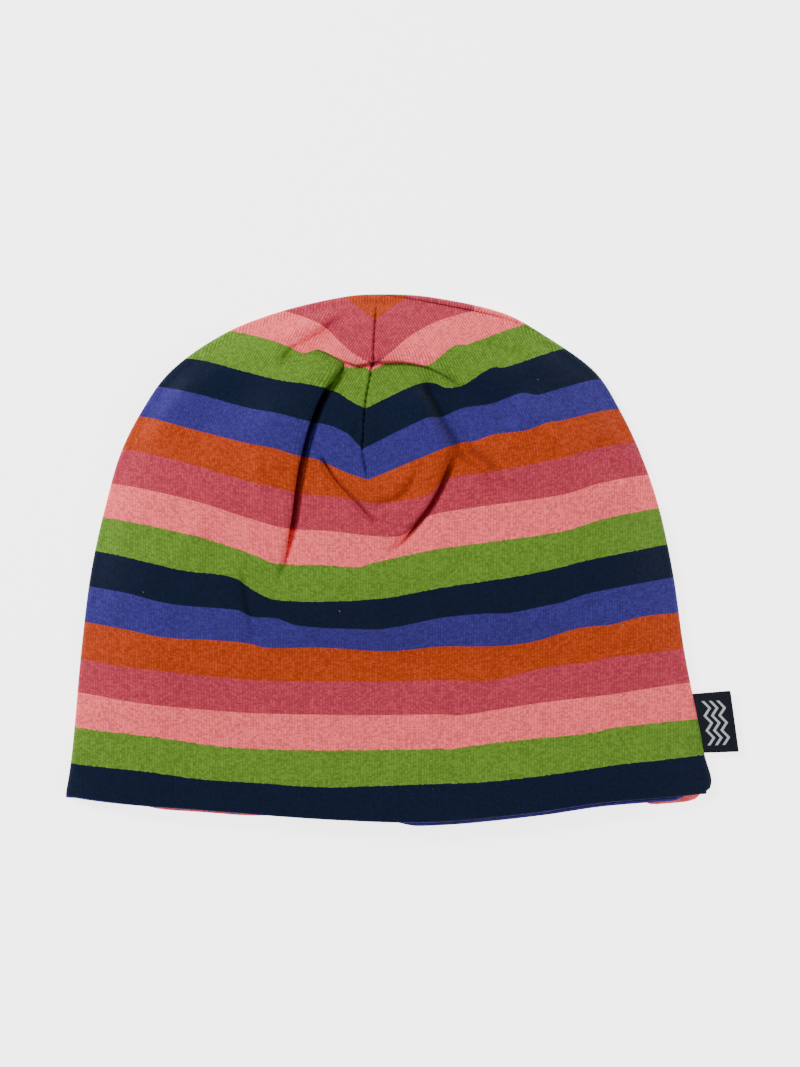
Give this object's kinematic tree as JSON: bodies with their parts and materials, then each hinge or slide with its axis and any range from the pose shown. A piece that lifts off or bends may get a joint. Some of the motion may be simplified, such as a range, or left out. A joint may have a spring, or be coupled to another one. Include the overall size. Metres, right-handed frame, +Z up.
{
  "type": "jersey beanie nightcap",
  "caption": "Child's double-layer striped jersey beanie nightcap, lying flat, with a crown dart, lining and folded side label.",
  "frame": {"origin": "middle of the underside, on the surface that the cap lies on", "axes": "+X towards the label at the wearer's side, +Y from the hem to the crown, +Z up off the surface"},
  "size_m": [0.262, 0.205, 0.024],
  "materials": {
    "striped_jersey": "matte cotton jersey in stripes of navy, green, pink, rose, orange and purple",
    "lining_jersey": "matte cotton jersey in the same stripes",
    "woven_label": "satin woven label, navy with a plain pale pattern"
  },
  "bodies": {
    "root": {"front_panel": "striped_jersey", "back_panel": "striped_jersey", "lining_front": "lining_jersey", "lining_back": "lining_jersey", "woven_label": "woven_label"}
  },
  "joints": []
}
